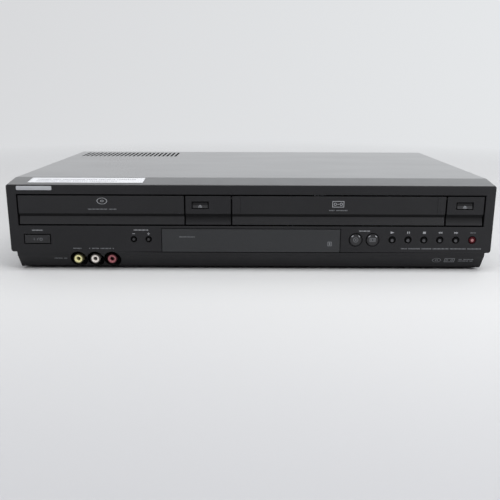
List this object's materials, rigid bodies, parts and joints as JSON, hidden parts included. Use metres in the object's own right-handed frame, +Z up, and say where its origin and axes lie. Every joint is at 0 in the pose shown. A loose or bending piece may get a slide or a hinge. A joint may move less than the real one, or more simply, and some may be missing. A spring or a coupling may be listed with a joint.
{
  "type": "dvd vcr combo player",
  "caption": "Low wide player with a disc tray on a motor-driven rack, a cassette bay behind a sprung flap with a helical tape deck, push buttons and phono jacks.",
  "frame": {"origin": "the middle of the player's box on the plane that its feet stand on", "axes": "+X to the right seen from the front, +Y to the back, +Z up; the front faces -Y"},
  "size_m": [0.43, 0.2676, 0.0824],
  "materials": {
    "front_plastic": "satin moulded, fine texture",
    "button_plastic": "satin moulded",
    "record_plastic": "tinted, translucent",
    "window_plastic": "smoked, polished",
    "cover_paint": "satin vinyl-textured paint",
    "zinc_steel": "zinc plated sheet",
    "foot_rubber": "matte",
    "screw_steel": "black zinc",
    "board_laminate": "solder mask",
    "power_laminate": "phenolic paper",
    "winding": "taped winding and ferrite",
    "display_glass": "polished glass envelope",
    "jack_black": "moulded",
    "jack_yellow": "moulded",
    "jack_white": "moulded",
    "jack_red": "moulded",
    "jack_colours": "moulded in the signal colours",
    "nickel": "nickel plated",
    "deck_plastic": "moulded",
    "gear_nylon": "moulded nylon",
    "pickup_metal": "die cast",
    "machined": "turned",
    "bright_steel": "ground",
    "roller_rubber": "ground rubber",
    "head_metal": "lapped"
  },
  "bodies": {
    "cabinet": {"chassis_base": "zinc_steel", "front_bezel": "front_plastic", "top_cover": "cover_paint", "rear_panel": "zinc_steel", "feet": "foot_rubber", "cover_screws": "screw_steel", "display_window": "window_plastic", "front_board": "board_laminate", "display_module": "display_glass", "front_jack_block": "jack_black", "front_jack_yellow": "jack_yellow", "front_jack_white": "jack_white", "front_jack_red": "jack_red", "rear_jack_block": "jack_black", "rear_jack_barrels": "nickel", "rear_jack_rings": "jack_colours", "aerial_sockets": "nickel", "mains_inlet": "jack_black", "main_board": "board_laminate", "power_board": "power_laminate", "transformer": "winding", "tuner_can": "zinc_steel", "disc_deck_frame": "deck_plastic", "clamp_bridge": "zinc_steel", "tray_motor": "zinc_steel", "tape_deck_frame": "zinc_steel", "drum_base": "machined", "tape_heads": "head_metal"},
    "tray": {"disc_tray": "deck_plastic", "disc_door": "front_plastic"},
    "tray_gear": {"tray_gear": "gear_nylon"},
    "motor_pinion": {"motor_pinion": "gear_nylon"},
    "clamp_puck": {"clamp_puck": "gear_nylon"},
    "lift_frame": {"lift_frame": "deck_plastic"},
    "turntable": {"turntable": "deck_plastic"},
    "pickup": {"pickup": "pickup_metal"},
    "cassette_door": {"cassette_door": "front_plastic"},
    "cradle_carriage": {"cradle_carriage": "zinc_steel"},
    "cassette_cradle": {"cassette_cradle": "zinc_steel"},
    "head_drum": {"head_drum": "machined"},
    "capstan": {"capstan": "bright_steel"},
    "pinch_arm": {"pinch_arm": "bright_steel"},
    "pinch_roller": {"pinch_roller": "roller_rubber"},
    "supply_reel": {"supply_reel": "gear_nylon"},
    "takeup_reel": {"takeup_reel": "gear_nylon"},
    "supply_guide": {"supply_guide": "bright_steel"},
    "takeup_guide": {"takeup_guide": "bright_steel"},
    "power_button": {"power_button": "button_plastic"},
    "disc_eject_button": {"disc_eject_button": "button_plastic"},
    "tape_eject_button": {"tape_eject_button": "button_plastic"},
    "tracking_down_button": {"tracking_down_button": "button_plastic"},
    "tracking_up_button": {"tracking_up_button": "button_plastic"},
    "select_disc_button": {"select_disc_button": "button_plastic"},
    "select_tape_button": {"select_tape_button": "button_plastic"},
    "play_button": {"play_button": "button_plastic"},
    "pause_button": {"pause_button": "button_plastic"},
    "stop_button": {"stop_button": "button_plastic"},
    "rewind_button": {"rewind_button": "button_plastic"},
    "forward_button": {"forward_button": "button_plastic"},
    "record_button": {"record_button": "record_plastic"}
  },
  "joints": [
    {"name": "tray_slide", "type": "slide", "parent": "cabinet", "child": "tray", "axis": [0, -1, 0], "range_m": [0, 0.138]},
    {"name": "tray_gear_spin", "type": "hinge", "parent": "cabinet", "child": "tray_gear", "pos_m": [-0.1783, -0.11125, 0.0465], "axis": [0, 0, 1], "range_deg": [0, 661.9]},
    {"name": "pinion_spin", "type": "hinge", "parent": "cabinet", "child": "motor_pinion", "pos_m": [-0.1588, -0.11125, 0.0465], "axis": [0, 0, 1], "range_deg": [-1057.2, 0]},
    {"name": "puck_spin", "type": "hinge", "parent": "cabinet", "child": "clamp_puck", "pos_m": [-0.1323, -0.06325, 0.0645], "axis": [0, 0, 1], "continuous": true},
    {"name": "lift_tilt", "type": "hinge", "parent": "cabinet", "child": "lift_frame", "pos_m": [-0.1323, 0.01675, 0.0445], "axis": [-1, 0, 0], "range_deg": [0, 6]},
    {"name": "disc_spin", "type": "hinge", "parent": "lift_frame", "child": "turntable", "pos_m": [-0.1323, -0.0643, 0.05026], "axis": [0, -0.1045, 0.9945], "continuous": true},
    {"name": "pickup_slide", "type": "slide", "parent": "lift_frame", "child": "pickup", "axis": [0, 0.9945, 0.1045], "range_m": [0, 0.03]},
    {"name": "cassette_door_hinge", "type": "hinge", "parent": "cabinet", "child": "cassette_door", "pos_m": [0.07755, -0.13105, 0.0669], "axis": [1, 0, 0], "range_deg": [0, 80], "stiffness_Nm_per_rad": 0.01, "springref_deg": -20.05},
    {"name": "cradle_load", "type": "slide", "parent": "cabinet", "child": "cradle_carriage", "axis": [0, 1, 0], "range_m": [0, 0.059]},
    {"name": "cradle_lower", "type": "slide", "parent": "cradle_carriage", "child": "cassette_cradle", "axis": [0, 0, -1], "range_m": [0, 0.018]},
    {"name": "drum_spin", "type": "hinge", "parent": "cabinet", "child": "head_drum", "pos_m": [0.07755, 0.05275, 0.0178], "axis": [0, 0.1045, 0.9945], "continuous": true},
    {"name": "capstan_spin", "type": "hinge", "parent": "cabinet", "child": "capstan", "pos_m": [0.13755, 0.03275, 0.0133], "axis": [0, 0, 1], "continuous": true},
    {"name": "pinch_swing", "type": "hinge", "parent": "cabinet", "child": "pinch_arm", "pos_m": [0.16155, 0.02475, 0.0133], "axis": [0, 0, -1], "range_deg": [0, 16]},
    {"name": "roller_spin", "type": "hinge", "parent": "pinch_arm", "child": "pinch_roller", "pos_m": [0.14145, 0.01868, 0.0263], "axis": [0, 0, 1], "continuous": true},
    {"name": "supply_spin", "type": "hinge", "parent": "cabinet", "child": "supply_reel", "pos_m": [0.03155, -0.04725, 0.0133], "axis": [0, 0, 1], "continuous": true},
    {"name": "takeup_spin", "type": "hinge", "parent": "cabinet", "child": "takeup_reel", "pos_m": [0.12355, -0.04725, 0.0133], "axis": [0, 0, 1], "continuous": true},
    {"name": "supply_guide_slide", "type": "slide", "parent": "cabinet", "child": "supply_guide", "axis": [0, 1, 0], "range_m": [0, 0.044]},
    {"name": "takeup_guide_slide", "type": "slide", "parent": "cabinet", "child": "takeup_guide", "axis": [0, 1, 0], "range_m": [0, 0.044]},
    {"name": "power_press", "type": "slide", "parent": "cabinet", "child": "power_button", "axis": [0, 1, 0], "range_m": [0, 0.001], "stiffness_N_per_m": 800, "springref_m": -0.0005},
    {"name": "disc_eject_press", "type": "slide", "parent": "cabinet", "child": "disc_eject_button", "axis": [0, 1, 0], "range_m": [0, 0.001], "stiffness_N_per_m": 800, "springref_m": -0.0005},
    {"name": "tape_eject_press", "type": "slide", "parent": "cabinet", "child": "tape_eject_button", "axis": [0, 1, 0], "range_m": [0, 0.001], "stiffness_N_per_m": 800, "springref_m": -0.0005},
    {"name": "tracking_down_press", "type": "slide", "parent": "cabinet", "child": "tracking_down_button", "axis": [0, 1, 0], "range_m": [0, 0.001], "stiffness_N_per_m": 800, "springref_m": -0.0005},
    {"name": "tracking_up_press", "type": "slide", "parent": "cabinet", "child": "tracking_up_button", "axis": [0, 1, 0], "range_m": [0, 0.001], "stiffness_N_per_m": 800, "springref_m": -0.0005},
    {"name": "select_disc_press", "type": "slide", "parent": "cabinet", "child": "select_disc_button", "axis": [0, 1, 0], "range_m": [0, 0.001], "stiffness_N_per_m": 800, "springref_m": -0.0005},
    {"name": "select_tape_press", "type": "slide", "parent": "cabinet", "child": "select_tape_button", "axis": [0, 1, 0], "range_m": [0, 0.001], "stiffness_N_per_m": 800, "springref_m": -0.0005},
    {"name": "play_press", "type": "slide", "parent": "cabinet", "child": "play_button", "axis": [0, 1, 0], "range_m": [0, 0.001], "stiffness_N_per_m": 800, "springref_m": -0.0005},
    {"name": "pause_press", "type": "slide", "parent": "cabinet", "child": "pause_button", "axis": [0, 1, 0], "range_m": [0, 0.001], "stiffness_N_per_m": 800, "springref_m": -0.0005},
    {"name": "stop_press", "type": "slide", "parent": "cabinet", "child": "stop_button", "axis": [0, 1, 0], "range_m": [0, 0.001], "stiffness_N_per_m": 800, "springref_m": -0.0005},
    {"name": "rewind_press", "type": "slide", "parent": "cabinet", "child": "rewind_button", "axis": [0, 1, 0], "range_m": [0, 0.001], "stiffness_N_per_m": 800, "springref_m": -0.0005},
    {"name": "forward_press", "type": "slide", "parent": "cabinet", "child": "forward_button", "axis": [0, 1, 0], "range_m": [0, 0.001], "stiffness_N_per_m": 800, "springref_m": -0.0005},
    {"name": "record_press", "type": "slide", "parent": "cabinet", "child": "record_button", "axis": [0, 1, 0], "range_m": [0, 0.001], "stiffness_N_per_m": 800, "springref_m": -0.0005}
  ],
  "couplings": [
    {"joint": "tray_gear_spin", "follows": "tray_slide", "rad_per_m": 83.333},
    {"joint": "pinion_spin", "follows": "tray_slide", "rad_per_m": -133.33},
    {"joint": "takeup_guide_slide", "follows": "supply_guide_slide", "ratio": 1}
  ]
}
